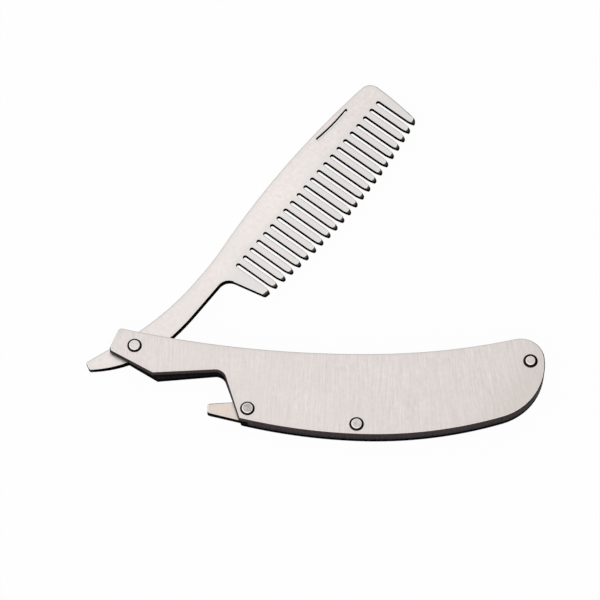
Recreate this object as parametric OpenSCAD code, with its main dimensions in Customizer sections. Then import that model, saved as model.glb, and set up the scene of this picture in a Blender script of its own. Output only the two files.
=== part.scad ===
// Folding beard comb with a bottle opener in its handle.
// Two steel scales are riveted over a spacer strip, and a comb blade swings between them on a friction pivot.
// The origin lies on the pivot axis, in the plane of the rear rivet heads.
// +X runs from the pivot to the tail rivet, and +Y to the side on which the comb opens.

/* [Comb blade] */
// Thickness of the blade
blade_t = 1.2; // [0.8:0.1:1.8]
// Number of slots between the teeth
slot_count = 22; // [16:1:26]
// Distance from one slot to the next
tooth_pitch = 2.65; // [2.4:0.05:2.9]
// Width of a slot
slot_w = 1; // [0.7:0.05:1.2]
// Depth of the longest slot, from its root to the tooth tips
tooth_len = 13.3; // [10:0.1:15]
// How much shorter the outer slots are than the middle ones
tip_crown = 2.25; // [1:0.05:3]
// How much each side of a tooth draws in at its tip
tip_taper = 0.48; // [0.2:0.02:0.6]
// Length of the drawn-in tip
tip_taper_len = 2.4; // [1:0.1:4]
// Distance from the pivot to the first slot
shank_len = 32.3; // [30:0.1:36]
// Distance of the slot roots below the pivot
root_drop = 5.6; // [5:0.1:7]
// Width of the back above the middle slots
back_w = 6.95; // [5.5:0.05:9]
// Distance of the shank's lower edge below the pivot
shank_drop = 6; // [5.6:0.1:7]
// Width of the shank at its narrowest
shank_w = 5.4; // [4.4:0.1:5.8]
// Radius of the hollow along the shank's spine
shank_r = 70; // [60:1:110]
// Height of the spine above the pivot
eye_top = 3.2; // [2.8:0.05:4]
// Radius of the rounded back
crown_r = 235; // [180:1:320]
// Width of the first tooth at its tip
first_tip_w = 1.9; // [1.4:0.1:2.6]
// Width of the first tooth at its root
first_root_w = 4.1; // [3.2:0.1:5]
// Width of the last tooth
last_tooth_w = 2.95; // [2.4:0.05:4]
// Radius at the upper corner of the blade's end
nose_r = 2.8; // [0.8:0.1:3]
// Distance from the pivot to the end of the tail lever
tail_len = 12.1; // [9:0.1:14]
// Width of the tail lever at its end
tail_w = 2.3; // [2:0.1:3.4]
// Direction of the tail lever from the tooth row
tail_angle = 151; // [148:0.5:156]
// Length of the nail nick
nick_len = 10.6; // [6:0.1:14]
// Width of the nail nick
nick_w = 0.55; // [0.3:0.05:0.8]
// Distance from the crown of the back to the nail nick
nick_inset = 2.25; // [1.8:0.05:3]
// Angle between the tooth row and the handle, as stored
open_angle = 54.6; // [20:0.1:180]

/* [Handle] */
// Thickness of each scale
scale_t = 1.4; // [1:0.1:2]
// Angle of the tooth row when the comb is folded away
closed_angle = 4.6; // [3.5:0.1:6]
// Room between the tooth tips and the spacer when folded
tip_gap = 0.8; // [0.4:0.1:1.5]
// Room between the blade's end and the spacer
nose_gap = 1; // [0.5:0.1:1.5]
// Width of the spacer strip at the belly
spacer_w = 5.25; // [4.2:0.05:6]
// Width of the spacer strip below the last tooth
spacer_end_w = 3.9; // [2.8:0.1:4]
// Distance from the pivot to the deepest point of the belly
belly_x = 54; // [46:0.5:58]
// Radius of the belly towards the opener
belly_r = 138; // [100:1:170]
// Height of the scales above the pivot
neck_top = 3.75; // [3.4:0.05:5]
// Distance from the pivot to the lowest point of the hollow top edge
waist_x = 43.5; // [36:0.5:52]
// Height of the hollow top edge there
waist_y = -0.07; // [-1:0.01:1]
// Radius of the rounded tail
tail_round_r = 5.6; // [5:0.1:7]
// Distance from the tail rivet to the end of the tail
tail_over = 3.4; // [3.2:0.1:5]
// Height of the tail's round above the tail rivet
tail_rise = 0.2; // [-0.5:0.1:1]
// Radius of the bend between the tail and the belly
tail_blend_r = 14.5; // [10:0.5:18]
// Reach of the neck behind the pivot
neck_back = 6.1; // [5:0.1:8]
// Height of the neck's rearmost corner
neck_back_y = -1.4; // [-3:0.1:0]
// Rise of the rear scale's rearmost corner over the front one's
rear_back_rise = 0.8; // [0:0.1:2]
// Distance of the neck's top corner behind the pivot
neck_top_x = 3.9; // [3:0.1:5]
// Radius of the neck's two rear corners
neck_r = 0.9; // [0.4:0.1:1.5]

/* [Opener] */
// Distance from the pivot to the corner that bears on a cap
bearing_x = 4.7; // [3:0.1:8]
// Depth of that corner below the pivot
bearing_drop = 6.95; // [6:0.05:8]
// Reach of the rear scale's corner past the front one's
rear_bearing_reach = 1.1; // [0:0.1:1.8]
// Depth of the rear scale's corner below the front one's
rear_bearing_drop = 0.45; // [0:0.05:0.8]
// Rise of the neck's lower edge towards the notch
notch_rise = 1.6; // [0.5:0.1:2.5]
// Width of the scales' slanted edge along X
notch_slant = 4.4; // [3:0.05:7]
// Distance of the rear scale's heel behind the front one's
rear_heel_in = 0.5; // [0:0.1:1]
// Radius in the notch's corner
notch_r = 2.5; // [1:0.1:4]
// Height of the notch, from the bearing corner to the lip
cap_gap = 6.8; // [6.2:0.05:8.5]
// Reach of the lip beyond the scales
lip_reach = 7.65; // [6:0.05:9]
// Width of the lip at its end
lip_w = 2.4; // [2:0.05:3.5]
// Radius under the lip's end
lip_r = 0.7; // [0.4:0.1:1.6]

/* [Pivot and rivets] */
// Diameter of the rivet shanks
rivet_d = 2; // [1.6:0.1:2.2]
// Diameter of the rivet heads
head_d = 3.5; // [2.8:0.05:4]
// Diameter of the flat on a rivet head
flat_d = 2.6; // [1.8:0.05:2.7]
// Height of a rivet head
head_h = 0.4; // [0.2:0.05:0.6]
// Radial clearance of the fixed rivets
rivet_clear = 0.02; // [0.01:0.01:0.05]
// Radial clearance of the blade on the pivot
pivot_clear = 0.05; // [0.02:0.01:0.1]
// Thickness of a pivot washer
washer_t = 0.15; // [0.1:0.05:0.3]
// Diameter of a pivot washer
washer_d = 4.6; // [3.6:0.1:5.4]
// Distance from the heel of the scales to the lip rivet
lip_rivet_in = 1.9; // [1.5:0.05:3]
// Height of the lip rivet above the lower edge
lip_rivet_up = 3; // [2.4:0.1:3.6]
// Distance from the pivot to the middle rivet
middle_rivet_x = 53.7; // [46:0.1:62]
// Height of the middle rivet above the lower edge
middle_rivet_up = 2.65; // [2:0.05:3]
// Height of the spacer's shoulder above the lip rivet
lip_shoulder_up = 2.55; // [1.6:0.05:2.8]
// Wall of the spacer around the tail rivet
boss_wall = 1.1; // [0.8:0.05:1.8]

/* [Hidden] */
$fn = 64;

// Segments along a corner, a short bend and a long edge
corner_steps = 8;
bend_steps = 16;
edge_steps = 28;

// Heights of the layers
rear_z = head_h;
gap_z = rear_z + scale_t;
blade_z = gap_z + washer_t;
gap_t = blade_t + 2 * washer_t;
front_z = gap_z + gap_t;
stack_t = gap_t + 2 * scale_t;

function polar(c, r, a) = c + r * [cos(a), sin(a)];
function heading(v) = atan2(v.y, v.x);
function unit(v) = v / norm(v);
function turned(p, a) = [p.x * cos(a) - p.y * sin(a), p.x * sin(a) + p.y * cos(a)];
function arc(c, r, a0, a1, n) = [for (i = [0:n]) polar(c, r, a0 + (a1 - a0) * i / n)];

// Lower side of a circle at x
function under(c, r, x) = c.y - sqrt(r * r - pow(x - c.x, 2));

// Point at distances d and e from p and q, to the left of the way from p to q
function meet(p, d, q, e) =
    let (u = unit(q - p), s = norm(q - p), a = (d * d - e * e + s * s) / (2 * s))
    p + a * u + sqrt(d * d - a * a) * [-u.y, u.x];

function bezier(p, q, r, s, n) = [
    for (i = [1:n - 1])
        let (t = i / n, w = 1 - t)
        w * w * w * p + 3 * w * w * t * q + 3 * w * t * t * r + t * t * t * s
];

// Arc of radius r in the corner at q, on the way from p to s
function corner(p, q, s, r) =
    let (
        u = unit(p - q),
        v = unit(s - q),
        half = acos(u * v) / 2,
        c = q + unit(u + v) * r / sin(half),
        d = q + u * r / tan(half) - c,
        e = q + v * r / tan(half) - c,
        w = 180 - 2 * half
    )
    [for (i = [0:corner_steps]) c + (sin(w - w * i / corner_steps) * d + sin(w * i / corner_steps) * e) / sin(w)];

// A path holds [x, y, radius] at its corners and [x, y, 0] along its curves
function at(k) = [k.x, k.y];
function curve(points) = [for (p = points) [p.x, p.y, 0]];
function bend(p, r) = [[p.x, p.y, r]];
function rounded(path) =
    let (n = len(path))
    [
        for (i = [0:n - 1])
            let (k = path[i], before = at(path[(i + n - 1) % n]), after = at(path[(i + 1) % n]))
            each k.z == 0 ? [at(k)] : corner(before, at(k), after, k.z)
    ];

// Blade, in its own frame: pivot at the origin and the tooth row along X
row_len = (slot_count - 1) * tooth_pitch;
row_mid = shank_len + row_len / 2;
root_y = -root_drop;
shank_low = -shank_drop;
tip_low = root_y - tooth_len;
tip_arc_r = row_len * row_len / (8 * tip_crown) + tip_crown / 2;
tip_arc_c = [row_mid, tip_low + tip_arc_r];
blade_reach = shank_len + row_len + slot_w / 2 + last_tooth_w;
pivot = [0, 0];
function slot_x(i) = shank_len + i * tooth_pitch;
function tip_y(x) = under(tip_arc_c, tip_arc_r, x);

first_root_x = shank_len - slot_w / 2 - first_root_w;
first_tip_x = shank_len - slot_w / 2 - first_tip_w;
first_fillet_r = 3;
first_tip_r = 0.8;
last_tip_r = 1.2;
end_margin = 1.8;

// Angle that a corner of radius r takes up on an arc of radius e
corner_room = 1.25;
function corner_turn(r, e) = corner_room * r / e * 180 / PI;

// Spine: a rounded back that runs into the hollow of the shank, which rises over the pivot
crown_c = [row_mid, root_y + back_w - crown_r];
shank_c_y = shank_low + shank_w + shank_r;
spine_run = sqrt(pow(crown_r + shank_r, 2) - pow(shank_c_y - crown_c.y, 2));
shank_c = [row_mid - spine_run, shank_c_y];
eye_c = [sqrt(shank_r * shank_r - pow(shank_c_y - eye_top, 2)), shank_c_y];
spine_turn = heading(shank_c - crown_c);
hollow_turn = asin(max(0, eye_c.x - shank_c.x) / 2 / shank_r);
nose = meet(pivot, blade_reach, crown_c, crown_r);
nose_tip = meet(tip_arc_c, tip_arc_r, pivot, blade_reach);
nose_turn = corner_turn(nose_r, blade_reach);
crown_start = heading(nose - crown_c) + corner_turn(nose_r, crown_r);

// Tail lever, whose lower edge sweeps up from the shank
tail_dir = polar(pivot, 1, tail_angle);
tail_end = tail_len * tail_dir;
tail_side = tail_w / 2 * [-tail_dir.y, tail_dir.x];
tail_top_r = 0.35;
tail_low_r = 0.6;
tail_top = tail_end - tail_side;
tail_low = tail_end + tail_side;
tail_sweep_x = 15.5;
tail_sweep_pull = 14;
tail_low_pull = 8.5;
tail_low_angle = -50;
spine_end = heading([pivot.x, eye_top] - eye_c);

blade_path = concat(
    bend(tail_low, tail_low_r),
    curve(bezier(
        tail_low,
        polar(tail_low, tail_low_pull, tail_low_angle),
        [tail_sweep_x - tail_sweep_pull, shank_low],
        [tail_sweep_x, shank_low],
        bend_steps
    )),
    curve([[tail_sweep_x, shank_low]]),
    bend([first_root_x, shank_low], first_fillet_r),
    bend([first_tip_x, tip_y(first_tip_x)], first_tip_r),
    curve([for (i = [0:slot_count - 1]) [slot_x(i), tip_y(slot_x(i))]]),
    bend(nose_tip, last_tip_r),
    curve(arc(pivot, blade_reach, heading(nose_tip) + end_margin, heading(nose) - nose_turn, corner_steps)),
    bend(nose, nose_r),
    curve(arc(crown_c, crown_r, crown_start, spine_turn, edge_steps)),
    curve(arc(shank_c, shank_r, spine_turn - 180, hollow_turn - 90, bend_steps)),
    curve(arc(eye_c, shank_r, -hollow_turn - 90, spine_end, bend_steps)),
    bend(tail_top, tail_top_r)
);

// Handle: rows of tooth tips, folded away, set the depth of the belly
folded_tips_c = turned(tip_arc_c, closed_angle);
folded_last = turned(nose_tip, closed_angle);
room_r = tip_arc_r + tip_gap;
tail_x = blade_reach + nose_gap + boss_wall + rivet_clear + rivet_d / 2;
belly_y = folded_tips_c.y - room_r - spacer_w;
belly_c = [belly_x, belly_y + belly_r];
first_heel_gap = 1.9;
heel_x = first_root_x - first_heel_gap;
function belly_at(x) = [x, under(belly_c, belly_r, x)];
heel = belly_at(heel_x);
rear_heel = belly_at(heel_x + rear_heel_in);
heel_r = 0.5;

// Towards the tail the belly passes below the last tooth
rear_run = folded_last.x - belly_x;
rear_rise = folded_last.y - tip_gap - spacer_end_w - belly_y;
rear_r = rear_run * rear_run / (2 * rear_rise) + rear_rise / 2;
rear_c = [belly_x, belly_y + rear_r];
tail_c = [tail_x + tail_over - tail_round_r, tail_rise];
blend_c = meet(tail_c, tail_blend_r - tail_round_r, rear_c, rear_r - tail_blend_r);
blend_start = heading(blend_c - rear_c);
blend_end = heading(tail_c - blend_c);

function lower_y(x) = x < belly_x ? under(belly_c, belly_r, x) : under(rear_c, rear_r, x);

// Top edge: one sweep from the neck down to the waist, and one up to the tail
tail_top_angle = 105.6;
tail_sweep_power = 2.3;
tail_crest = polar(tail_c, tail_round_r, tail_top_angle);
function top_y(x) =
    x < waist_x
        ? waist_y + (neck_top - waist_y) * pow(1 - x / waist_x, 2)
        : waist_y + (tail_crest.y - waist_y) * pow((x - waist_x) / (tail_crest.x - waist_x), tail_sweep_power);

front_bearing = [bearing_x, -bearing_drop];
rear_bearing = front_bearing + [rear_bearing_reach, -rear_bearing_drop];
front_back = [-neck_back, neck_back_y];
rear_back = front_back + [0, rear_back_rise];
bearing_r = 0.35;
notch = [heel_x - notch_slant, notch_rise - bearing_drop];
top_end = tail_crest.x;

lower_edge = concat(
    arc(belly_c, belly_r, heading(heel - belly_c) + end_margin / 2, -90, bend_steps),
    arc(rear_c, rear_r, -90, blend_start, bend_steps)
);
tail_edge = concat(
    arc(blend_c, tail_blend_r, blend_start, blend_end, bend_steps),
    arc(tail_c, tail_round_r, blend_end, tail_top_angle, bend_steps)
);

// Outer edge of the tail at height y
function right_side(c, r, y) = c.x + sqrt(r * r - pow(y - c.y, 2));
function tail_side_x(y) =
    y < polar(tail_c, tail_round_r, blend_end).y
        ? right_side(blend_c, tail_blend_r, y)
        : right_side(tail_c, tail_round_r, y);

function scale_path(back, bearing, heel_at) = concat(
    bend([-neck_top_x, top_y(-neck_top_x)], neck_r),
    bend(back, neck_r),
    bend(bearing, bearing_r),
    bend(notch, notch_r),
    bend(heel_at, heel_r),
    curve(lower_edge),
    curve(tail_edge),
    curve([for (i = [edge_steps - 1:-1:0]) let (x = top_end * i / edge_steps) [x, top_y(x)]])
);

// Rivets
lip_rivet_x = heel_x + lip_rivet_in;
lip_rivet_at = [lip_rivet_x, lower_y(lip_rivet_x) + lip_rivet_up];
middle_rivet_at = [middle_rivet_x, lower_y(middle_rivet_x) + middle_rivet_up];
tail_rivet_at = [tail_x, 0];
fixed_rivets = [lip_rivet_at, middle_rivet_at, tail_rivet_at];

// Spacer: flush with the lower edge, clear of the folded comb, with the opener's lip at its end
lip_top = [heel_x - lip_reach, -bearing_drop - cap_gap];
lip_low = lip_top - [0, lip_w];
lip_corner_r = 0.4;
lip_shoulder_run = 1.4;
lip_shoulder = lip_rivet_at + [lip_shoulder_run, lip_shoulder_up];
shoulder_r = 0.8;
room_start_x = first_tip_x - tip_gap;
room_start = turned([room_start_x, under(tip_arc_c, room_r, room_start_x)], closed_angle);
room_corner = turned(meet(tip_arc_c, room_r, pivot, blade_reach + nose_gap), closed_angle);
room_corner_r = 1.5;
room_margin = 1;
boss_top = rivet_d / 2 + rivet_clear + boss_wall;
boss_in_angle = asin(boss_top / (blade_reach + nose_gap));
boss_edge = concat([for (p = tail_edge) if (p.y < boss_top) p], [[tail_side_x(boss_top), boss_top]]);

spacer_path = concat(
    bend(lip_low, lip_r),
    curve([heel]),
    curve(lower_edge),
    curve(boss_edge),
    curve(arc(
        pivot,
        blade_reach + nose_gap,
        boss_in_angle,
        heading(room_corner) + room_margin,
        corner_steps
    )),
    bend(room_corner, room_corner_r),
    curve(arc(
        folded_tips_c,
        room_r,
        heading(room_corner - folded_tips_c) - room_margin,
        heading(room_start - folded_tips_c) + room_margin,
        edge_steps
    )),
    bend(room_start, shoulder_r),
    bend(lip_shoulder, shoulder_r),
    bend(lip_top, lip_corner_r)
);

scale_color = [0.86, 0.83, 0.82];
blade_color = [0.92, 0.89, 0.88];
spacer_color = [0.82, 0.77, 0.74];
rivet_color = [0.88, 0.86, 0.84];
washer_color = [0.78, 0.66, 0.42];

module rivet_holes(points) {
    for (p = points)
        translate(p)
            circle(d = rivet_d + 2 * rivet_clear);
}

module scale_plate(z, back, bearing, heel_at) {
    translate([0, 0, z])
        linear_extrude(scale_t)
            difference() {
                polygon(rounded(scale_path(back, bearing, heel_at)));
                rivet_holes(concat([pivot], fixed_rivets));
            }
}

module rivet(p) {
    translate(p) {
        cylinder(h = head_h, d1 = flat_d, d2 = head_d);
        translate([0, 0, head_h])
            cylinder(h = stack_t, d = rivet_d);
        translate([0, 0, head_h + stack_t])
            cylinder(h = head_h, d1 = head_d, d2 = flat_d);
    }
}

module washer(z) {
    translate([0, 0, z])
        linear_extrude(washer_t)
            difference() {
                circle(d = washer_d);
                circle(d = rivet_d + 2 * pivot_clear);
            }
}

// Gap between two teeth, round at its root and flared at the tips
module slot(x) {
    slot_end = 1;
    half = slot_w / 2;
    low = tip_y(x);
    side = [
        for (i = [0:corner_steps])
            let (f = i / corner_steps)
            [half + tip_taper * f * f, low + tip_taper_len * (1 - f)]
    ];
    right = concat(side, [[half + tip_taper, low - slot_end]]);
    left = [for (i = [len(right) - 1:-1:0]) [-right[i].x, right[i].y]];
    root = arc([0, root_y - half], half, 180, 0, corner_steps);
    translate([x, 0])
        polygon(concat(right, left, root));
}

// Thin slot below the back, bowed towards the teeth
module nail_nick() {
    nick_r = 55;
    nick_end_x = 11.7;
    nick_tilt = -4;
    half = nick_w / 2;
    half_angle = nick_len / nick_r * 90 / PI;
    nick_mid = [slot_x(slot_count - 1) - nick_end_x, root_y + back_w - nick_inset];
    nick_c = polar(nick_mid, nick_r, 90 + nick_tilt);
    first = nick_tilt - 90 - half_angle;
    last = nick_tilt - 90 + half_angle;
    polygon(concat(
        arc(nick_c, nick_r + half, first, last, corner_steps),
        arc(polar(nick_c, nick_r, last), half, last, last + 180, corner_steps),
        arc(nick_c, nick_r - half, last, first, corner_steps),
        arc(polar(nick_c, nick_r, first), half, first + 180, first + 360, corner_steps)
    ));
}

module front_scale() {
    color(scale_color)
        scale_plate(front_z, front_back, front_bearing, heel);
}

module rear_scale() {
    color(scale_color)
        scale_plate(rear_z, rear_back, rear_bearing, rear_heel);
}

module opener_spacer() {
    color(spacer_color)
        translate([0, 0, gap_z])
            linear_extrude(gap_t)
                difference() {
                    polygon(rounded(spacer_path));
                    rivet_holes(fixed_rivets);
                }
}

module comb_blade() {
    color(blade_color)
        translate([0, 0, blade_z])
            rotate(open_angle)
                linear_extrude(blade_t)
                    difference() {
                        polygon(rounded(blade_path));
                        circle(d = rivet_d + 2 * pivot_clear);
                        for (i = [0:slot_count - 1])
                            slot(slot_x(i));
                        nail_nick();
                    }
}

module pivot_rivet() {
    color(rivet_color)
        rivet(pivot);
}

module lip_rivet() {
    color(rivet_color)
        rivet(lip_rivet_at);
}

module middle_rivet() {
    color(rivet_color)
        rivet(middle_rivet_at);
}

module tail_rivet() {
    color(rivet_color)
        rivet(tail_rivet_at);
}

module front_washer() {
    color(washer_color)
        washer(blade_z + blade_t);
}

module rear_washer() {
    color(washer_color)
        washer(gap_z);
}

front_scale();
rear_scale();
opener_spacer();
comb_blade();
pivot_rivet();
lip_rivet();
middle_rivet();
tail_rivet();
front_washer();
rear_washer();
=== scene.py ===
# Folding beard comb in brushed steel: two riveted scales, an opener lip and a comb blade on a friction pivot.
import math

import bmesh
import bpy
import numpy as np
from mathutils import Matrix, Vector
from mathutils.geometry import delaunay_2d_cdt


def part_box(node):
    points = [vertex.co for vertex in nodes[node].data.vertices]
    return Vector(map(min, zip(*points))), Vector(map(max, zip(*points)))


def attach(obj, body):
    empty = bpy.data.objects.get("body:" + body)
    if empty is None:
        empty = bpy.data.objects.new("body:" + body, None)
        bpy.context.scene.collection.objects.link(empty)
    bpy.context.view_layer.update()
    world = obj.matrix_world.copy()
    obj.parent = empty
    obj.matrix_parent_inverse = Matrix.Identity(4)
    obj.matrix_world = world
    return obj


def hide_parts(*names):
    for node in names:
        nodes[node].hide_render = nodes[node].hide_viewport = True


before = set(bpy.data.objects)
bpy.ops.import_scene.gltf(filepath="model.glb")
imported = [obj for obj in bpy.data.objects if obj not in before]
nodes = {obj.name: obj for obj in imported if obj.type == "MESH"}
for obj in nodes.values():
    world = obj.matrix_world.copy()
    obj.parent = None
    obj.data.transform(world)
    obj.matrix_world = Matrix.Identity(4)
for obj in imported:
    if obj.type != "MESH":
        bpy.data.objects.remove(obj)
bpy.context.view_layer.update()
scene = bpy.context.scene
mm = 0.001
print("frame loaded:", len(nodes), "solids")

# camera where the picture was taken from, in millimetres and degrees
photoView = {
    "aim": (38.96, 13.57, 4.7),
    "elevation": 65.85,
    "turn": 2.442,
    "distance": 913.7,
    "lens": 228.4,
    "sensor": 36.0,
    "near": 10,
    "far": 20000,
}


def addCamera(v):
    data = bpy.data.cameras.new("photoCamera")
    data.lens, data.sensor_width = v["lens"], v["sensor"]
    data.clip_start, data.clip_end = v["near"] * mm, v["far"] * mm
    camera = bpy.data.objects.new("photoCamera", data)
    lift, turn = math.radians(v["elevation"]), math.radians(v["turn"])
    flat = math.cos(lift)
    back = Vector((flat * math.sin(turn), -flat * math.cos(turn), math.sin(lift)))
    camera.location = (Vector(v["aim"]) + back * v["distance"]) * mm
    camera.rotation_euler = (math.pi / 2 - lift, 0, turn)
    scene.collection.objects.link(camera)
    scene.camera = camera


addCamera(photoView)
scene.view_settings.view_transform = "Standard"
print("camera set")


# small helpers for node trees
def put(tree, kind, sockets=None, **settings):
    node = tree.nodes.new(kind)
    for key, value in settings.items():
        setattr(node, key, value)
    for key, value in (sockets or {}).items():
        if isinstance(value, bpy.types.NodeSocket):
            tree.links.new(value, node.inputs[key])
        else:
            node.inputs[key].default_value = value
    return node


def readMark(tree, name):
    return put(tree, "ShaderNodeAttribute", attribute_name=name).outputs["Fac"]


def calc(tree, operation, *values):
    return put(tree, "ShaderNodeMath", dict(enumerate(values)), operation=operation).outputs[0]


def spread(tree, value, low, high, fromLow, fromHigh, way="LINEAR"):
    sockets = {"Value": value, "From Min": fromLow, "From Max": fromHigh, "To Min": low, "To Max": high}
    return put(tree, "ShaderNodeMapRange", sockets, interpolation_type=way).outputs[0]


def blendColour(tree, factor, first, second):
    return put(tree, "ShaderNodeMix", {0: factor, 6: first, 7: second}, data_type="RGBA").outputs[2]


def newGroup(name, kind, takes, gives):
    tree = bpy.data.node_groups.new(name, kind)
    for side, sockets in (("INPUT", takes), ("OUTPUT", gives)):
        for label, sort in sockets:
            tree.interface.new_socket(label, in_out=side, socket_type="NodeSocket" + sort)
    return tree, put(tree, "NodeGroupInput").outputs, put(tree, "NodeGroupOutput").inputs


def colour(red, green, blue):
    def linear(c):
        c /= 255
        return c / 12.92 if c <= 0.04045 else ((c + 0.055) / 1.055) ** 2.4

    return (linear(red), linear(green), linear(blue), 1.0)


# plain studio: pale floor, a pale sky that falls off towards the back and the right, two large soft lamps;
# sizes and places in millimetres
studio = {
    "skyTop": 1.04,
    "skyRim": 0.5,
    "skyLean": (-0.2, -0.45, 0.87),
    "skySpan": (-0.1, 0.7),
    "rightShade": 0.12,
    "rightSpan": (0.15, 0.6),
    "floorColour": (250, 250, 249),
    "floorWhite": 0.96,
    "floorRadius": 3000,
    "floorSides": 96,
    "floorDrop": 0.02,
    "lamps": {
        "keyLamp": {"at": (-500, -420, 900), "size": 1400, "power": 1.0},
        "fillLamp": {"at": (620, -300, 800), "size": 1400, "power": 0.5},
    },
}


def addFloor(v):
    mesh = bpy.data.meshes.new("paleFloor")
    bm = bmesh.new()
    bmesh.ops.create_circle(bm, cap_ends=True, segments=v["floorSides"], radius=v["floorRadius"] * mm)
    bmesh.ops.translate(bm, verts=bm.verts, vec=(0, 0, -v["floorDrop"] * mm))
    bm.to_mesh(mesh)
    bm.free()
    floor = bpy.data.objects.new("paleFloor", mesh)
    scene.collection.objects.link(floor)
    material = bpy.data.materials.new("paleFloor")
    material.use_nodes = True
    tree = material.node_tree
    tree.nodes.clear()
    matt = put(tree, "ShaderNodeBsdfDiffuse", {"Color": colour(*v["floorColour"])})
    white = put(tree, "ShaderNodeEmission")
    ray = put(tree, "ShaderNodeLightPath").outputs
    seen = calc(tree, "MAXIMUM", ray["Is Camera Ray"], ray["Is Glossy Ray"])
    seen = calc(tree, "MAXIMUM", seen, ray["Is Transmission Ray"])
    share = calc(tree, "MULTIPLY", seen, v["floorWhite"])
    mixed = put(tree, "ShaderNodeMixShader", {0: share, 1: matt.outputs[0], 2: white.outputs[0]})
    put(tree, "ShaderNodeOutputMaterial", {0: mixed.outputs[0]})
    mesh.materials.append(material)


def addSky(v):
    world = bpy.data.worlds.new("softSky")
    world.use_nodes = True
    tree = world.node_tree
    tree.nodes.clear()
    way = put(tree, "ShaderNodeTexCoord").outputs["Generated"]
    height = put(tree, "ShaderNodeVectorMath", {0: way, 1: v["skyLean"]}, operation="DOT_PRODUCT")
    level = spread(tree, height.outputs["Value"], v["skyRim"], v["skyTop"], *v["skySpan"], "SMOOTHSTEP")
    right = put(tree, "ShaderNodeSeparateXYZ", {0: way}).outputs["X"]
    shade = spread(tree, right, 1.0, v["rightShade"], *v["rightSpan"], "SMOOTHSTEP")
    strength = calc(tree, "MULTIPLY", level, shade)
    sky = put(tree, "ShaderNodeBackground", {"Color": (1, 1, 1, 1), "Strength": strength})
    put(tree, "ShaderNodeOutputWorld", {0: sky.outputs[0]})
    scene.world = world


def addLamp(name, v):
    data = bpy.data.lights.new(name, "AREA")
    data.size, data.energy = v["size"] * mm, v["power"]
    lamp = bpy.data.objects.new(name, data)
    lamp.location = Vector(v["at"]) * mm
    aim = Vector(photoView["aim"]) * mm
    lamp.rotation_euler = (aim - lamp.location).to_track_quat("-Z", "Y").to_euler()
    scene.collection.objects.link(lamp)


addFloor(studio)
addSky(studio)
for lampName, lampValues in studio["lamps"].items():
    addLamp(lampName, lampValues)
print("studio set")


# brush grain: streaks drawn out along Y that lean over towards the handle's tail; places in millimetres
brushing = {
    "leanFrom": 55,
    "leanTo": 100,
    "hairScale": 3.7,
    "fleckScale": 0.45,
    "cloudScale": 90.0,
    "noise": {
        "Streak": {"Detail": 3.0, "Roughness": 0.6},
        "Hair": {"Detail": 2.0},
        "Fleck": {"Detail": 3.0},
        "Cloud": {"Detail": 3.0, "Roughness": 0.55},
    },
}


def makeBrushGrain(v):
    tree, given, result = newGroup(
        "brushGrain",
        "ShaderNodeTree",
        [("Coord", "Vector"), ("Fineness", "Float"), ("Stretch", "Float"), ("Lean", "Float")],
        [("Streak", "Float"), ("Hair", "Float"), ("Fleck", "Float"), ("Cloud", "Float")],
    )
    xyz = put(tree, "ShaderNodeSeparateXYZ", {0: given["Coord"]}).outputs
    lean = spread(tree, xyz["X"], 0.0, given["Lean"], v["leanFrom"] * mm, v["leanTo"] * mm, "SMOOTHSTEP")
    across = calc(tree, "MULTIPLY_ADD", lean, xyz["Y"], xyz["X"])
    along = calc(tree, "DIVIDE", xyz["Y"], given["Stretch"])
    drawn = put(tree, "ShaderNodeCombineXYZ", {0: across, 1: along, 2: xyz["Z"]}).outputs[0]
    places = {
        "Streak": (drawn, given["Fineness"]),
        "Hair": (drawn, calc(tree, "MULTIPLY", given["Fineness"], v["hairScale"])),
        "Fleck": (given["Coord"], calc(tree, "MULTIPLY", given["Fineness"], v["fleckScale"])),
        "Cloud": (given["Coord"], v["cloudScale"]),
    }
    for label, (place, scale) in places.items():
        sockets = {"Vector": place, "Scale": scale, **v["noise"][label]}
        tree.links.new(put(tree, "ShaderNodeTexNoise", sockets).outputs[0], result[label])
    return tree


# stretches of a noise or a mark that are drawn out to the full range
spans = {"grain": (0.3, 0.7), "cloud": (0.35, 0.7), "rough": (0.25, 0.75), "facetHighlight": (0.2, 0.8)}

# darker rim: a broken band along the edges of a face, blended towards a darker rim tone
rimBreakup = (0.45, 1.25)


def makeDarkRimBand():
    tree, given, result = newGroup(
        "darkRimBand",
        "ShaderNodeTree",
        [("Rim", "Float"), ("Cloud", "Float"), ("Amount", "Float")],
        [("Mask", "Float")],
    )
    broken = spread(tree, given["Cloud"], *rimBreakup, *spans["grain"])
    band = calc(tree, "MULTIPLY", given["Rim"], broken)
    tree.links.new(calc(tree, "MULTIPLY", band, given["Amount"]), result["Mask"])
    return tree


brushGrain = makeBrushGrain(brushing)
darkRimBand = makeDarkRimBand()


def newMaterial(name):
    material = bpy.data.materials.new(name)
    material.use_nodes = True
    return material, material.node_tree, material.node_tree.nodes["Principled BSDF"]


def turnedCoord(tree, degrees):
    coord = put(tree, "ShaderNodeTexCoord").outputs["Object"]
    turn = tuple(math.radians(a) for a in degrees)
    return put(tree, "ShaderNodeMapping", {"Vector": coord, "Rotation": turn}).outputs[0]


# painted highlight: a soft band of lighter colour across a face, lightest at one place along it
def addPaintedHighlight(tree, v, degrees):
    along = put(tree, "ShaderNodeSeparateXYZ", {0: turnedCoord(tree, degrees)}).outputs["X"]
    away = calc(tree, "ABSOLUTE", calc(tree, "SUBTRACT", along, v["at"] * mm))
    return spread(tree, away, v["share"], 0.0, 0.0, v["reach"] * mm, "SMOOTHSTEP")


# share that grows from one line across a face, or one height of a wall, to another
def addFade(tree, v):
    across = put(tree, "ShaderNodeSeparateXYZ", {0: turnedCoord(tree, v["turn"])}).outputs["Y"]
    return spread(tree, across, 0.0, v["share"], v["from"] * mm, v["to"] * mm, "SMOOTHSTEP")


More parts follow.
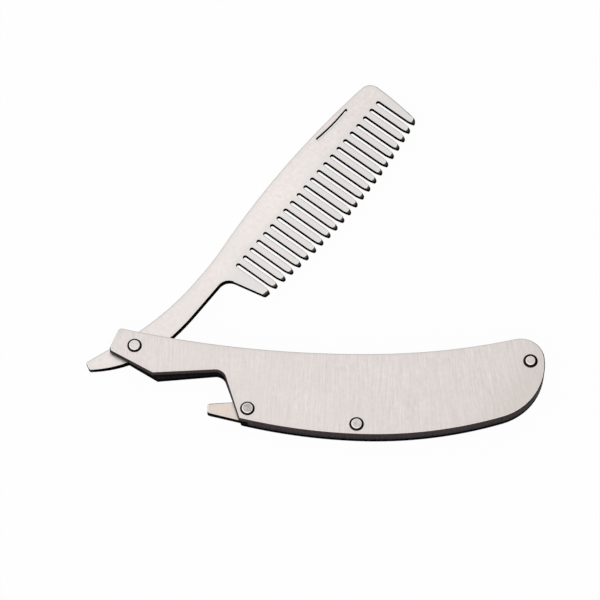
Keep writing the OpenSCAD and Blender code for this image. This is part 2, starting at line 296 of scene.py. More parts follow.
def addGrain(tree, v):
    sockets = {label.capitalize(): v[label] for label in ("fineness", "stretch", "lean")}
    sockets["Coord"] = turnedCoord(tree, v["grainTurn"])
    return put(tree, "ShaderNodeGroup", sockets, node_tree=brushGrain).outputs


def addBump(tree, shader, height, strength, depth):
    bump = put(tree, "ShaderNodeBump", {"Strength": strength, "Distance": depth * mm, "Height": height})
    tree.links.new(bump.outputs[0], shader.inputs["Normal"])


# shares of streaks and hairs in the lines of a face and of a cut wall
faceLines = (0.55, 0.45)
cutLines = (0.6, 0.4)

# depth of the scores on a cut wall in millimetres, and how much it shines at a slant
cutDepth = 0.03
cutSheen = 0.4


# brushed or satin face of a plate
def faceSteel(name, v):
    material, tree, shader = newMaterial(name)
    grain = addGrain(tree, v)
    brushed = 1 - v["fleck"]
    lines = calc(tree, "MULTIPLY", grain["Streak"], faceLines[0] * brushed)
    lines = calc(tree, "MULTIPLY_ADD", grain["Hair"], faceLines[1] * brushed, lines)
    lines = calc(tree, "MULTIPLY_ADD", grain["Fleck"], v["fleck"], lines)
    level = spread(tree, lines, 0.0, 1.0, *spans["grain"])
    # painted highlight: the grain's level is raised along a band
    if "paintedHighlight" in v:
        level = calc(tree, "ADD", level, addPaintedHighlight(tree, v["paintedHighlight"], v["grainTurn"]))
    tone = blendColour(tree, level, colour(*v["dark"]), colour(*v["light"]))
    haze = spread(tree, grain["Cloud"], 0.0, v["cloud"], *spans["cloud"])
    tone = blendColour(tree, haze, tone, colour(*v["haze"]))
    if "fade" in v:
        tone = blendColour(tree, addFade(tree, v["fade"]), tone, colour(*v["fade"]["tone"]))
    # the face turns towards a darker rim tone near its edges
    if "rimDarkening" in v:
        sockets = {"Rim": readMark(tree, "rim"), "Cloud": grain["Cloud"], "Amount": v["rimDarkening"]}
        rimDarkening = put(tree, "ShaderNodeGroup", sockets, node_tree=darkRimBand)
        tone = blendColour(tree, rimDarkening.outputs["Mask"], tone, colour(*v["rimTone"]))
    if "toned" in v:
        share = readMark(tree, "tone")
        duller = blendColour(tree, level, *(colour(*c) for c in v["toned"]))
        tone = blendColour(tree, share, tone, duller)
    tree.links.new(tone, shader.inputs["Base Color"])
    rough = spread(tree, lines, *v["rough"], *spans["rough"])
    tree.links.new(rough, shader.inputs["Roughness"])
    shader.inputs["Metallic"].default_value = 1.0
    addBump(tree, shader, lines, v["bump"], v["bumpDepth"])
    return material


# dark steel of the cut walls, ground bevels, rivet flanks and inner faces, scored from face to face; the dark
# colour is partly the dull cut steel and mostly painted shade
def shadedCutSteel(name, v):
    material, tree, shader = newMaterial(name)
    grain = addGrain(tree, v)
    lines = calc(tree, "MULTIPLY", grain["Streak"], cutLines[0])
    lines = calc(tree, "MULTIPLY_ADD", grain["Hair"], cutLines[1], lines)
    level = spread(tree, lines, 0.0, 1.0, *spans["grain"])
    tone = blendColour(tree, level, colour(*v["dark"]), colour(*v["light"]))
    # painted highlight: a lighter grey along the outer part of the tip facets, where the rim mark is low
    if "facetHighlight" in v:
        outward = spread(tree, readMark(tree, "rim"), 0.0, 1.0, *spans["facetHighlight"])
        tone = blendColour(tree, outward, colour(*v["facetHighlight"]), tone)
    if "fade" in v:
        tone = blendColour(tree, addFade(tree, v["fade"]), tone, colour(*v["fade"]["tone"]))
    tree.links.new(tone, shader.inputs["Base Color"])
    rough = spread(tree, grain["Cloud"], *v["rough"], *spans["grain"])
    tree.links.new(rough, shader.inputs["Roughness"])
    shader.inputs["Metallic"].default_value = 1.0
    shader.inputs["Specular Tint"].default_value = (cutSheen, cutSheen, cutSheen, 1.0)
    addBump(tree, shader, lines, v["bump"], cutDepth)
    return material


# the comb stands open at this angle to the handle, in degrees
openAngle = 54.6

acrossHandle = {"fineness": 1900.0, "stretch": 18.0, "fleck": 0.2, "lean": 0.28, "grainTurn": (0, 0, 0)}
acrossBlade = {"fineness": 2300.0, "stretch": 9.0, "fleck": 0.5, "lean": 0.0, "grainTurn": (0, 0, -openAngle)}
downWall = {"fineness": 2600.0, "stretch": 9.0, "lean": 0.0, "grainTurn": (90, 0, 0)}
turnedHead = {"fineness": 3600.0, "stretch": 1.6, "fleck": 0.5, "lean": 0.0, "grainTurn": (0, 0, 35)}

# colours are seen values of 0 to 255, places are in millimetres and turns in degrees
finishes = {
    "handleFace": {
        **acrossHandle,
        "dark": (207, 199, 196), "light": (249, 241, 238), "haze": (229, 221, 218), "cloud": 0.5,
        "rimDarkening": 0.2, "rimTone": (212, 207, 204), "rough": (0.32, 0.42), "bump": 0.16, "bumpDepth": 0.02,
        "paintedHighlight": {"at": 18, "reach": 100, "share": 0.13},
        "fade": {"turn": (0, 0, 127), "from": 69.5, "to": 80.0, "share": 0.28, "tone": (203, 194, 184)},
    },
    "handleEdge": {
        **acrossHandle,
        "dark": (226, 219, 216), "light": (246, 239, 236), "haze": (232, 225, 222), "cloud": 0.4,
        "rough": (0.26, 0.34), "bump": 0.08, "bumpDepth": 0.02,
    },
    "lipFace": {
        **acrossHandle,
        "dark": (222, 207, 198), "light": (250, 236, 227), "haze": (234, 221, 212), "cloud": 0.5,
        "rimDarkening": 0.2, "rimTone": (216, 206, 199), "rough": (0.34, 0.44), "bump": 0.16, "bumpDepth": 0.02,
    },
    "bladeFace": {
        **acrossBlade,
        "dark": (228, 219, 216), "light": (254, 247, 244), "haze": (244, 238, 234), "cloud": 0.5,
        "rimDarkening": 0.35, "rimTone": (226, 222, 218), "rough": (0.34, 0.42), "bump": 0.1, "bumpDepth": 0.015,
        "paintedHighlight": {"at": 48, "reach": 42, "share": 0.34},
        "fade": {"turn": (0, 0, -openAngle), "from": -4.5, "to": -8.0, "share": 0.6, "tone": (232, 231, 229)},
    },
    "bladeEdge": {
        **acrossBlade,
        "dark": (224, 218, 215), "light": (240, 234, 231), "haze": (228, 223, 220), "cloud": 0.4,
        "rough": (0.26, 0.34), "bump": 0.06, "bumpDepth": 0.015,
    },
    "rivetFace": {
        **turnedHead,
        "dark": (204, 196, 193), "light": (255, 249, 246), "haze": (230, 222, 219), "cloud": 0.4,
        "rough": (0.32, 0.42), "bump": 0.16, "bumpDepth": 0.02,
        "toned": ((116, 109, 106), (240, 233, 230)),
    },
    # painted highlight: the rounded edge of each rivet's flat is lighter than the flat
    "rivetEdgeHighlight": {
        **turnedHead,
        "dark": (236, 230, 227), "light": (254, 248, 245), "haze": (240, 235, 232), "cloud": 0.4,
        "rough": (0.28, 0.36), "bump": 0.06, "bumpDepth": 0.02,
    },
    "washerFace": {
        **turnedHead,
        "dark": (196, 166, 104), "light": (214, 186, 122), "haze": (190, 164, 112), "cloud": 0.6,
        "rough": (0.34, 0.46), "bump": 0.1, "bumpDepth": 0.02,
    },
}
# painted shade: the walls, bevels, flanks and inner faces below get dark colours that stand in for shade and
# dark reflections
shadedCutFinishes = {
    # painted shade: dark grey on the front scale's cut wall
    "handleWall": {
        **downWall, "dark": (57, 50, 49), "light": (85, 77, 75), "rough": (0.42, 0.55), "bump": 0.2,
    },
    # painted shade: near black on the rear scale's and the lip's cut walls
    "darkWall": {
        **downWall, "dark": (3, 3, 5), "light": (27, 25, 30), "rough": (0.45, 0.6), "bump": 0.2,
    },
    # painted shade and painted highlight: the spacer's wall between the scales is dark, and lighter towards
    # its top edge
    "spacerWall": {
        **downWall, "dark": (46, 43, 47), "light": (78, 74, 79), "rough": (0.42, 0.55), "bump": 0.2,
        "fade": {"turn": (-90, 0, 0), "from": 2.8, "to": 3.3, "share": 0.6, "tone": (98, 91, 94)},
    },
    # painted shade: dark on the scales' inner faces, in the gap between the plates
    "handleInner": {
        **acrossHandle, "dark": (40, 39, 42), "light": (66, 64, 68), "rough": (0.5, 0.65), "bump": 0.15,
    },
    # painted shade: near black on the blade's cut walls and slot walls
    "bladeWall": {
        **downWall, "dark": (2, 2, 2), "light": (12, 11, 11), "rough": (0.42, 0.55), "bump": 0.2,
    },
    # painted shade: near black on the ground bevel along the shank and on the tip facets, with a painted
    # highlight of grey along the facets' outer part
    "bladeGround": {
        **acrossBlade, "dark": (3, 3, 3), "light": (16, 15, 15), "rough": (0.4, 0.5), "bump": 0.2,
        "facetHighlight": (140, 136, 134),
    },
    # painted shade: a dark ring on the flanks of the rivet heads
    "rivetFlank": {
        **downWall, "dark": (20, 15, 15), "light": (48, 39, 38), "rough": (0.4, 0.5), "bump": 0.1,
    },
}
steel = {name: faceSteel(name, v) for name, v in finishes.items()}
steel.update({name: shadedCutSteel(name, v) for name, v in shadedCutFinishes.items()})
print("finishes made:", len(steel))


def closing(outline):
    return np.roll(outline, -1, 0)


# short steps are left out, starting after the longest one so that an outline never closes on a short step
shortestStep = 0.1


def thinned(points):
    longest = np.linalg.norm(closing(points) - points, axis=1).argmax()
    kept = []
    for point in np.roll(points, -longest - 1, 0):
        if not kept or np.linalg.norm(point - kept[-1]) > shortestStep:
            kept.append(point)
    return np.array(kept)


# outlines of a solid's upper face in millimetres, material on the left of each; tolerances in metres
topFace = {"weld": 1e-7, "depth": 1e-6, "upright": 0.99}


def topOutlines(name):
    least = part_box(name)[1].z - topFace["depth"]
    bm = bmesh.new()
    bm.from_mesh(nodes[name].data)
    bmesh.ops.remove_doubles(bm, verts=bm.verts, dist=topFace["weld"])
    upright = [f for f in bm.faces if f.normal.z > topFace["upright"]]
    top = [f for f in upright if f.calc_center_median().z > least]
    isTop = set(top)
    following = {}
    for face in top:
        for corner in face.loops:
            if sum(f in isTop for f in corner.edge.link_faces) == 1:
                following[corner.vert] = corner.link_loop_next.vert
    outlines = []
    while following:
        vert = next(iter(following))
        points = []
        while vert in following:
            points.append(tuple(vert.co.xy / mm))
            vert = following.pop(vert)
        outlines.append(thinned(np.array(points)))
    bm.free()
    return sorted(outlines, key=lambda o: -np.ptp(o[:, 0]))


def turnedBy(points, degrees):
    c, s = math.cos(math.radians(degrees)), math.sin(math.radians(degrees))
    return points @ np.array([[c, s], [-s, c]])


def distanceTo(points, outlines):
    best = np.full(len(points), np.inf)
    for start in outlines:
        step = closing(start) - start
        gap = points[:, None] - start
        share = np.clip((gap * step).sum(2) / (step * step).sum(1), 0, 1)
        best = np.minimum(best, np.linalg.norm(gap - share[..., None] * step, axis=2).min(1))
    return best


def isInside(points, outlines):
    crossed = np.zeros(len(points), int)
    x, y = points[:, :1], points[:, 1:]
    for start in outlines:
        end = closing(start)
        rise = end[:, 1] - start[:, 1]
        level = np.where(rise == 0, 1, rise)
        meets = start[:, 0] + (y - start[:, 1]) * (end[:, 0] - start[:, 0]) / level
        crossed += (((start[:, 1] > y) != (end[:, 1] > y)) & (x < meets)).sum(1)
    return crossed % 2 == 1


# triangles between outlines, with a staggered field of points inside
fieldRule = {"rowStep": 0.866, "clear": 0.5, "merge": 1e-6}


def fillOutlines(outlines, step):
    border = np.concatenate(outlines)
    low, high = border.min(0), border.max(0)
    rows = np.arange(low[1] + step / 2, high[1], step * fieldRule["rowStep"])
    columns = np.arange(low[0], high[0], step)
    field = np.array([(x + (i % 2) * step / 2, y) for i, y in enumerate(rows) for x in columns])
    field = field[isInside(field, outlines)] if len(field) else field.reshape(0, 2)
    field = field[distanceTo(field, outlines) > step * fieldRule["clear"]]
    edges, base = [], 0
    for o in outlines:
        edges += [(base + i, base + (i + 1) % len(o)) for i in range(len(o))]
        base += len(o)
    points = np.concatenate([border, field])
    made = delaunay_2d_cdt([Vector(p) for p in points], edges, [], 0, fieldRule["merge"])
    origin = [ids[0] for ids in made[3]]
    corners = np.array([[origin[i] for i in face] for face in made[2]])
    keep = isInside(points[corners].mean(1), outlines)
    return field, corners[keep]


# ways from an outline into its material, longer at corners up to a limit, and along the edge where it is open
cornerLimit = 0.5


def insetWays(outline, isOpen):
    ahead = closing(outline) - outline
    ahead = ahead / np.linalg.norm(ahead, axis=1)[:, None]
    behind = np.roll(ahead, 1, 0)
    normals = [np.stack([-a[:, 1], a[:, 0]], 1) for a in (ahead, behind)]
    way = normals[0] + normals[1]
    way /= np.linalg.norm(way, axis=1)[:, None]
    way /= np.maximum((way * normals[0]).sum(1), cornerLimit)[:, None]
    before = np.roll(isOpen, 1)
    way[isOpen & ~before] = ahead[isOpen & ~before]
    way[~isOpen & before] = -behind[~isOpen & before]
    way[isOpen & before] = 0
    return way


# a stretch of edge may be ground to a slope or a facet, softly rounded, or covered by other plates
plain, ground, facet, soft, covered = range(5)
softRings = 3
softWay = -0.3

# each face is marked with one of a piece's four finishes; the last is for ground, covered or inner faces
faceMark, edgeMark, wallMark, otherMark = range(4)
sides = ("upper", "lower")


def newMesh(name, points, faces, finish):
    mesh = bpy.data.meshes.new(name)
    mesh.from_pydata(points, [], faces)
    mesh.attributes.new("finish", "INT", "FACE").data.foreach_set("value", np.array(finish, np.int32))
    mesh.update()
    return mesh


# flat plate with rounded edges
def buildPlate(name, outlines, low, high, v, edgeRule, isOpen=None):
    rounds = v["rounds"]
    share = np.linspace(0, 1, rounds + 1)
    bright = [[edgeMark if k < v[side]["bright"] else wallMark for k in range(rounds)] for side in sides]
    marks = bright[0] + [wallMark] + bright[1][::-1]
    points, faces, finish, insets, rims = [], [], [], [], []
    count = 0
    for n, outline in enumerate(outlines):
        size = len(outline)
        gaps = isOpen if n == 0 and isOpen is not None else np.zeros(size, bool)
        ways = insetWays(outline, gaps)
        rings, inners, kinds = {}, {}, {}
        for side in sides:
            inner = outline + ways * v[side]["width"]
            depth = np.full(size, v[side]["depth"])
            inner, depth, kind = edgeRule(side, outline, ways, inner, depth)
            kinds[side] = kind
            isFlat = (kind == ground) | (kind == facet)
            rings[side] = []
            for t in share:
                rims.append(np.where(kind == facet, t, 1))
                kept = np.where(isFlat, 1 - t, 1 - math.sin(t * math.pi / 2))[:, None]
                drop = depth * np.where(isFlat, t, 1 - math.cos(t * math.pi / 2))
                rings[side].append((outline + (inner - outline) * kept, drop))
            inners[side] = inner
        stack = [np.column_stack([xy, high - drop]) for xy, drop in rings["upper"]]
        stack += [np.column_stack([xy, low + drop]) for xy, drop in reversed(rings["lower"])]
        following = np.roll(np.arange(size), -1)
        for k, mark in enumerate(marks):
            a, b = count + k * size, count + (k + 1) * size
            for i in np.flatnonzero(~gaps):
                j = following[i]
                faces.append((a + i, b + i, b + j, a + j))
                pair = {int(kinds["upper"][i]), int(kinds["upper"][j])}
                if pair == {covered} or (k < rounds and pair <= {ground, facet}):
                    finish.append(otherMark)
                else:
                    finish.append(edgeMark if pair == {soft} and k < softRings else mark)
        wider = max(inners, key=lambda side: v[side]["width"])
        insets.append((inners[wider], count, count + (len(stack) - 1) * size))
        points += stack
        count += len(stack) * size
    field, corners = fillOutlines([i[0] for i in insets], v["field"])
    inside = np.arange(len(field))
    upper = np.concatenate([i[1] + np.arange(len(i[0])) for i in insets] + [count + inside])
    lower = np.concatenate([i[2] + np.arange(len(i[0])) for i in insets] + [count + len(field) + inside])
    points += [np.column_stack([field, np.full(len(field), z)]) for z in (high, low)]
    rims += [np.exp(-distanceTo(field, outlines) / v["rim"])] * 2
    faces += [tuple(upper[c]) for c in corners] + [tuple(lower[c[::-1]]) for c in corners]
    middles = np.concatenate([i[0] for i in insets] + [field])[corners].mean(1)
    for side in sides:
        isInner = (middles[:, 0] > v["bareTo"]) if "bareTo" in v else v.get("inner") == side
        finish += np.where(isInner, otherMark, np.full(len(corners), faceMark)).tolist()
    used = np.unique([i for face in faces for i in face])
    renumber = dict(zip(used.tolist(), range(len(used))))
    points = np.concatenate(points)[used] * mm
    faces = [[renumber[i] for i in map(int, f)] for f in faces]
    mesh = newMesh(name, points.tolist(), faces, finish)
    rims = np.concatenate(rims)[used].astype(np.float32)
    mesh.attributes.new("rim", "FLOAT", "POINT").data.foreach_set("value", rims)
    return mesh


# faces stay flat, edges and walls are smooth along their own run
sharpAngle = 35


def sharpen(mesh):
    bm = bmesh.new()
    bm.from_mesh(mesh)
    finish = bm.faces.layers.int["finish"]
    for face in bm.faces:
        face.smooth = True
    for edge in bm.edges:
        pair = edge.link_faces
        if len(pair) == 2:
            same = pair[0][finish] == pair[1][finish]
            edge.smooth = same and edge.calc_face_angle(0) < math.radians(sharpAngle)
    bm.to_mesh(mesh)
    bm.free()


def addPiece(name, mesh, body, slot, *replaced):
    piece = bpy.data.objects.new(name, mesh)
    scene.collection.objects.link(piece)
    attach(piece, body)
    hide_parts(*replaced)


def setFinish(mesh, names):
    for name in names:
        mesh.materials.append(steel[name])
    marks = np.zeros(len(mesh.polygons), np.int32)
    mesh.attributes["finish"].data.foreach_get("value", marks)
    mesh.polygons.foreach_set("material_index", marks)


# the two scales and the spacer with its opener lip, sizes in millimetres
plateMesh = {"rounds": 4, "field": 0.9, "rim": 0.5}
plates = {
    "frontScale": {
        **plateMesh, "node": "front_scale", "slot": "scale_steel", "softSide": (0, 1), "inner": "lower",
        "upper": {"width": 0.32, "depth": 0.16, "bright": 1},
        "lower": {"width": 0.01, "depth": 0.01, "bright": 0},
        "finish": ("handleFace", "handleEdge", "handleWall", "handleInner"),
    },
    "rearScale": {
        **plateMesh, "node": "rear_scale", "slot": "scale_steel", "softSide": (0, 1), "inner": "upper",
        "upper": {"width": 0.08, "depth": 0.06, "bright": 0},
        "lower": {"width": 0.04, "depth": 0.02, "bright": 0},
        "finish": ("handleFace", "handleEdge", "darkWall", "handleInner"),
    },
    "openerSpacer": {
        **plateMesh, "node": "opener_spacer", "slot": "spacer_steel", "softSide": (-0.7, 0.7),
        "bareTo": 27.5, "bareFade": 3.0, "coveredShare": 0.02,
        "upper": {"width": 0.3, "depth": 0.08, "bright": 1},
        "lower": {"width": 0.04, "depth": 0.02, "bright": 0},
        "finish": ("lipFace", "handleEdge", "darkWall", "spacerWall"),
    },
}


# edges on one side are the soft ones, and an edge between two scales stays crisp
def plateRule(v):
    def rule(side, outline, ways, inner, depth):
        kind = np.where(ways @ v["softSide"] < softWay, soft, plain)
        if "bareTo" in v:
            kept = np.clip((v["bareTo"] - outline[:, 0]) / v["bareFade"], v["coveredShare"], 1)
            inner, depth = outline + (inner - outline) * kept[:, None], depth * kept
            kind[outline[:, 0] > v["bareTo"]] = covered
        return inner, depth, kind

    return rule


def addPlate(name, v):
    low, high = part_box(v["node"])
    mesh = buildPlate(name, topOutlines(v["node"]), low.z / mm, high.z / mm, v, plateRule(v))
    setFinish(mesh, v["finish"])
    sharpen(mesh)
    addPiece(name, mesh, "handle", v["slot"], v["node"])
    print(name, "made:", len(mesh.polygons), "faces")


for plateName, plateValues in plates.items():
    addPlate(plateName, plateValues)


# node trees end by giving each finish its own material, in the order of the marks
finishLabels = ("Face", "Edge", "Wall", "Other")
materialSockets = [(label, "Material") for label in finishLabels]


def finishSplit(tree, geometry, given):
    mark = put(tree, "GeometryNodeInputNamedAttribute", {"Name": "finish"}, data_type="INT").outputs[0]
    made = put(tree, "GeometryNodeSetMaterial", {"Geometry": geometry, "Material": given["Face"]}).outputs[0]
    for below, label in enumerate(finishLabels[1:]):
        chosen = calc(tree, "GREATER_THAN", mark, below + 0.5)
        sockets = {"Geometry": made, "Selection": chosen, "Material": given[label]}
        made = put(tree, "GeometryNodeSetMaterial", sockets).outputs[0]
    return made


def runNodes(name, mesh, tree, values):
    work = bpy.data.objects.new(name, mesh)
    scene.collection.objects.link(work)
    modifier = work.modifiers.new(name, "NODES")
    modifier.node_group = tree
    for item in tree.interface.items_tree:
        if item.in_out == "INPUT" and item.name in values:
            modifier[item.identifier] = values[item.name]
    graph = bpy.context.evaluated_depsgraph_get()
    done = work.evaluated_get(graph)
    made = bpy.data.meshes.new_from_object(done, preserve_all_data_layers=True, depsgraph=graph)
    work.modifiers.clear()
    bpy.data.objects.remove(work)
    made.name = name
    return made


def materialValues(names):
    return dict(zip(finishLabels, (steel[n] for n in names)))


# comb blade: its back comes from the solid, and the row of teeth follows a rule; sizes in millimetres
blade = {
    "node": "comb_blade", "slot": "blade_steel", "rounds": 4, "field": 0.9, "rim": 0.7, "weld": 0.002,
    "upper": {"width": 0.14, "depth": 0.05, "bright": 1},
    "lower": {"width": 0.02, "depth": 0.02, "bright": 0},
    "soft": {"width": 0.32, "depth": 0.12},
    "teeth": 21, "pitch": 2.65, "slotWidth": 1.0, "firstSlot": 32.3,
    "root": -5.6, "tip": -18.9, "crown": 2.25,
    "taper": 0.48, "taperLength": 2.4, "tipRound": 0.24, "seam": 0.5, "roundSteps": 7, "taperSteps": 8,
    "facetLength": 0.75, "facetDepth": 0.5, "facetReach": 0.9, "tipShare": 0.6,
    "bevelWidth": 0.42, "bevelDepth": 0.55, "bevelFrom": -11.0, "bevelRun": 7.0,
    "bevelFoot": -8.5, "bevelFade": 2.2, "bevelWay": 0.3, "bevelStop": 2.0,
    "finish": ("bladeFace", "bladeEdge", "bladeWall", "bladeGround"),
}
rowLength = blade["teeth"] * blade["pitch"]
rowMiddle = blade["firstSlot"] + rowLength / 2
tipRadius = rowLength**2 / (8 * blade["crown"]) + blade["crown"] / 2


# the tips lie on a shallow arc
def tipRise(x):
    return tipRadius - np.sqrt(tipRadius**2 - (x - rowMiddle) ** 2)


# a tooth is ground back to a steep facet at its tip, and the shank to a bevel along its lower edge
def groundRule(v, rise, shankEnd):
    def rule(side, outline, ways, inner, depth):
        if side == "lower":
            return inner, depth, np.full(len(outline), plain)
        width, fall = v["upper"]["width"], v["upper"]["depth"]
        x, y = outline.T
        above = y - v["tip"] - rise(x)
        isTip = above < v["facetReach"]
        near = np.clip(above / v["facetReach"], 0, 1)
        lifted = v["facetLength"] + near * (v["facetReach"] - v["facetLength"])
        narrow = np.clip(above / v["taperLength"], v["tipShare"], 1)
        inner = outline + (inner - outline) * narrow[:, None]
        inner[isTip, 1] = (y - above + lifted)[isTip]
        depth = np.where(isTip, v["facetDepth"] + near * (fall - v["facetDepth"]), depth)
        fade = np.clip((x - v["bevelFrom"]) / v["bevelRun"], 0, 1)
        fade = fade * np.clip((y - v["bevelFoot"]) / v["bevelFade"], 0, 1)
        isShank = (x < shankEnd) & (ways[:, 1] > v["bevelWay"]) & (fade > 0)
        bevel = width + fade * (v["bevelWidth"] - width)
        inner[isShank] = (outline + ways * bevel[:, None])[isShank]
        depth = np.where(isShank, fall + fade * (v["bevelDepth"] - fall), depth)
        isNose = x > v["firstSlot"] + rowLength + v["slotWidth"]
        isSoft = ~isTip & ~isShank & ((ways[:, 1] < softWay) | isNose)
        inner[isSoft] = (outline + ways * v["soft"]["width"])[isSoft]
        depth = np.where(isSoft, v["soft"]["depth"], depth)
        return inner, depth, np.select([isTip, isShank, isSoft], [facet, ground, soft], plain)

    return rule


# one tooth between two slot middles, open where it joins the back
def toothOutline(v):
    half, middle = v["slotWidth"] / 2, v["pitch"] / 2
    bend = np.linspace(math.pi / 2, 0, v["roundSteps"])
    left = [(half * math.cos(a), v["root"] - half + half * math.sin(a)) for a in bend]
    for f in np.linspace(0, 1 - v["tipRound"] / v["taperLength"], v["taperSteps"]):
        left.append((half + v["taper"] * f * f, v["tip"] + v["taperLength"] * (1 - f)))
    side = left[-1][0]
    for a in np.linspace(0, math.pi / 2, v["roundSteps"])[1:]:
        left.append((middle - (middle - side) * math.cos(a), v["tip"] + v["tipRound"] * (1 - math.sin(a))))
    right = [(v["pitch"] - x, y) for x, y in left[-2::-1]]
    seam = [(v["pitch"], v["root"] + v["seam"]), (0, v["root"] + v["seam"])]
    outline = np.array(left + right + seam)
    isOpen = np.zeros(len(outline), bool)
    isOpen[-3:] = True
    return outline, isOpen


# the blade's own outline with the row of teeth cut away along a straight seam
def backOutline(v, outer):
    first = np.array([v["firstSlot"], v["root"]])
    last = first + [rowLength, 0]
    a, b = (int(np.linalg.norm(outer - p, axis=1).argmin()) for p in (first, last))
    kept = np.roll(outer, -b, 0)[: (a - b) % len(outer) + 1].copy()
    kept[0], kept[-1] = last, first
    seam = [(first[0] + i * v["pitch"], v["root"] + v["seam"]) for i in range(v["teeth"] + 1)]
    isOpen = np.zeros(len(kept) + len(seam), bool)
    isOpen[len(kept) - 1 :] = True
    return np.concatenate([kept, np.array(seam)]), isOpen


def makeToothRow():
    takes = [("Tooth", "Geometry"), ("Back", "Object"), ("Count", "Int")]
    takes += [(label, "Float") for label in ("Pitch", "First", "Middle", "Arc", "Root", "Tip", "Weld")]
    takes += materialSockets
    tree, given, result = newGroup("toothRow", "GeometryNodeTree", takes, [("Blade", "Geometry")])
    start = put(tree, "ShaderNodeCombineXYZ", {0: given["First"]}).outputs[0]
    step = put(tree, "ShaderNodeCombineXYZ", {0: given["Pitch"]}).outputs[0]
    sockets = {"Count": given["Count"], "Start Location": start, "Offset": step}
    line = put(tree, "GeometryNodeMeshLine", sockets)
    row = put(tree, "GeometryNodeInstanceOnPoints", {"Points": line.outputs[0], "Instance": given["Tooth"]})
    row = put(tree, "GeometryNodeRealizeInstances", {0: row.outputs[0]})
    place = put(tree, "GeometryNodeInputPosition").outputs[0]
    xyz = put(tree, "ShaderNodeSeparateXYZ", {0: place}).outputs
    side = calc(tree, "SUBTRACT", xyz["X"], given["Middle"])
    squares = [calc(tree, "MULTIPLY", value, value) for value in (given["Arc"], side)]
    reach = calc(tree, "SQRT", calc(tree, "SUBTRACT", *squares))
    rise = calc(tree, "SUBTRACT", given["Arc"], reach)
    lift = calc(tree, "MULTIPLY", rise, spread(tree, xyz["Y"], 0.0, 1.0, given["Root"], given["Tip"]))
    shift = put(tree, "ShaderNodeCombineXYZ", {1: lift}).outputs[0]
    row = put(tree, "GeometryNodeSetPosition", {"Geometry": row.outputs[0], "Offset": shift})
    back = put(tree, "GeometryNodeObjectInfo", {"Object": given["Back"]})
    both = put(tree, "GeometryNodeJoinGeometry", {0: back.outputs["Geometry"]})
    tree.links.new(row.outputs[0], both.inputs[0])
    whole = put(tree, "GeometryNodeMergeByDistance", {"Geometry": both.outputs[0], "Distance": given["Weld"]})
    tree.links.new(finishSplit(tree, whole.outputs[0], given), result["Blade"])
    return tree


def addBlade(name, v):
    low, high = (corner.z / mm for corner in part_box(v["node"]))
    outlines = [turnedBy(o, -openAngle) for o in topOutlines(v["node"])]
    outer, isOpen = backOutline(v, outlines[0])
    rule = groundRule(v, tipRise, v["firstSlot"] - v["bevelStop"])
    backMesh = buildPlate(name + "Back", [outer] + outlines[1:], low, high, v, rule, isOpen)
    back = bpy.data.objects.new(name + "Back", backMesh)
    scene.collection.objects.link(back)
    outer, isOpen = toothOutline(v)
    rule = groundRule(v, np.zeros_like, -math.inf)
    tooth = buildPlate(name + "Tooth", [outer], low, high, v, rule, isOpen)
    sizes = {
        "Back": back, "Count": v["teeth"], "Pitch": v["pitch"] * mm, "First": v["firstSlot"] * mm,
        "Middle": rowMiddle * mm, "Arc": tipRadius * mm, "Root": (v["root"] - v["slotWidth"]) * mm,
        "Tip": (v["tip"] + v["taperLength"]) * mm, "Weld": v["weld"] * mm,
    }
    mesh = runNodes(name, tooth, makeToothRow(), {**sizes, **materialValues(v["finish"])})
    bpy.data.objects.remove(back)
    mesh.transform(Matrix.Rotation(math.radians(openAngle), 4, "Z"))
    sharpen(mesh)
    addPiece(name, mesh, "comb", v["slot"], v["node"])
    print(name, "made:", len(mesh.polygons), "faces")


addBlade("combBlade", blade)


# rivets: a turned head at each end of a shank, sizes in millimetres
rivets = {
    "head": 3.5, "height": 0.4, "edge": {"width": 0.25, "depth": 0.08}, "rounds": 4,
    "foot": 0.04, "shank": 2.0, "sides": 48,
    "slot": "rivet_steel", "finish": ("rivetFace", "rivetEdgeHighlight", "rivetFlank", "rivetFlank"),
    "pieces": {
        "pivotRivet": {"node": "pivot_rivet", "flat": 2.6, "tone": 0.0},
        "lipRivet": {"node": "lip_rivet", "flat": 2.65, "tone": 0.9},
        "middleRivet": {"node": "middle_rivet", "flat": 2.55, "tone": 0.4},
        "tailRivet": {"node": "tail_rivet", "flat": 2.35, "tone": 0.3},
    },
}


def headMesh(v, flat):
    head, top, width, depth = v["head"] / 2, v["height"], v["edge"]["width"], v["edge"]["depth"]
    bends = [math.pi / 2 * k / v["rounds"] for k in range(v["rounds"])]
    profile = [(flat / 2 - width * (1 - math.sin(t)), top - depth * (1 - math.cos(t))) for t in bends]
    flank = [(flat / 2, top - depth), (head, v["foot"]), (head, 0.0)]
    marks = [edgeMark] * (len(profile) - 1) + [wallMark] * len(flank)
    profile += flank
    count = v["sides"]
    turn = [2 * math.pi * i / count for i in range(count)]
    points = [(r * math.cos(a) * mm, r * math.sin(a) * mm, z * mm) for r, z in profile for a in turn]
    faces, finish = [tuple(range(count))], [faceMark]
    for k, mark in enumerate(marks):
        a, b = k * count, (k + 1) * count
        for i in range(count):
            j = (i + 1) % count
            faces.append((a + i, b + i, b + j, a + j))
            finish.append(mark)
    faces.append(tuple(len(marks) * count + i for i in reversed(range(count))))
    finish.append(wallMark)
    return newMesh("rivetHead", points, faces, finish)


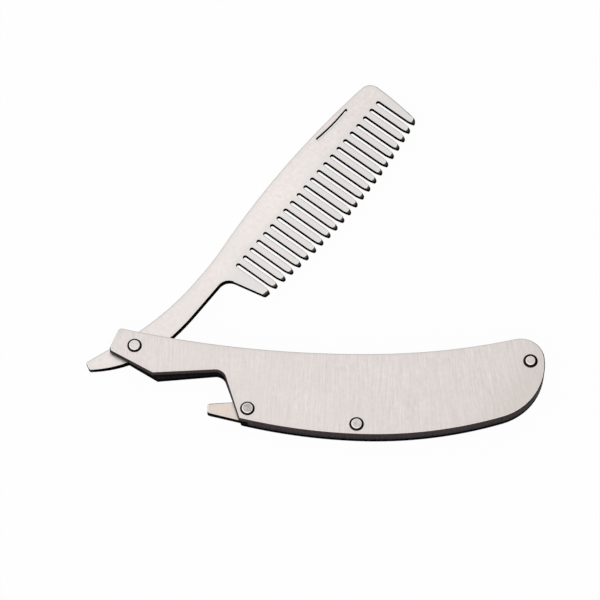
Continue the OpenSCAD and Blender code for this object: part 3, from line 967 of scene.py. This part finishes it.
def makeRivetTree():
    takes = [("Head", "Geometry"), ("Upper", "Vector"), ("Lower", "Vector"), ("Radius", "Float")]
    takes += [("Sides", "Int"), ("Tone", "Float")] + materialSockets
    tree, given, result = newGroup("rivet", "GeometryNodeTree", takes, [("Rivet", "Geometry")])
    sockets = {"Count": 2, "Start Location": given["Upper"], "Offset": given["Lower"]}
    ends = put(tree, "GeometryNodeMeshLine", sockets, mode="END_POINTS")
    index = put(tree, "GeometryNodeInputIndex").outputs[0]
    flip = put(tree, "ShaderNodeCombineXYZ", {0: calc(tree, "MULTIPLY", index, math.pi)}).outputs[0]
    sockets = {"Points": ends.outputs[0], "Instance": given["Head"], "Rotation": flip}
    heads = put(tree, "GeometryNodeInstanceOnPoints", sockets)
    span = put(tree, "ShaderNodeVectorMath", {0: given["Upper"], 1: given["Lower"]}, operation="DISTANCE")
    sockets = {0: 0.5, 4: given["Upper"], 5: given["Lower"]}
    middle = put(tree, "ShaderNodeMix", sockets, data_type="VECTOR").outputs[1]
    sockets = {"Vertices": given["Sides"], "Radius": given["Radius"], "Depth": span.outputs["Value"]}
    shank = put(tree, "GeometryNodeMeshCylinder", sockets)
    sockets = {"Geometry": shank.outputs[0], "Name": "finish", "Value": wallMark}
    wall = put(tree, "GeometryNodeStoreNamedAttribute", sockets, data_type="INT", domain="FACE")
    placed = put(tree, "GeometryNodeTransform", {"Geometry": wall.outputs[0], "Translation": middle})
    both = put(tree, "GeometryNodeJoinGeometry", {0: heads.outputs[0]})
    tree.links.new(placed.outputs[0], both.inputs[0])
    whole = put(tree, "GeometryNodeRealizeInstances", {0: both.outputs[0]})
    sockets = {"Geometry": whole.outputs[0], "Name": "tone", "Value": given["Tone"]}
    toned = put(tree, "GeometryNodeStoreNamedAttribute", sockets, data_type="FLOAT", domain="POINT")
    tree.links.new(finishSplit(tree, toned.outputs[0], given), result["Rivet"])
    return tree


def addRivets(v):
    tree = makeRivetTree()
    above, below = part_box("front_scale")[1].z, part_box("rear_scale")[0].z
    for name, each in v["pieces"].items():
        low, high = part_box(each["node"])
        x, y = (low.x + high.x) / 2, (low.y + high.y) / 2
        sizes = {
            "Upper": (x, y, above), "Lower": (x, y, below), "Radius": v["shank"] / 2 * mm,
            "Sides": v["sides"], "Tone": each["tone"],
        }
        mesh = runNodes(name, headMesh(v, each["flat"]), tree, {**sizes, **materialValues(v["finish"])})
        sharpen(mesh)
        addPiece(name, mesh, "handle", v["slot"], each["node"])
    print("rivets made:", len(v["pieces"]))


addRivets(rivets)

# the thin washers keep their solids
for washerName in ("front_washer", "rear_washer"):
    washer = nodes[washerName]
    washer.data.materials.clear()
    washer.data.materials.append(steel["washerFace"])
print("washers finished")
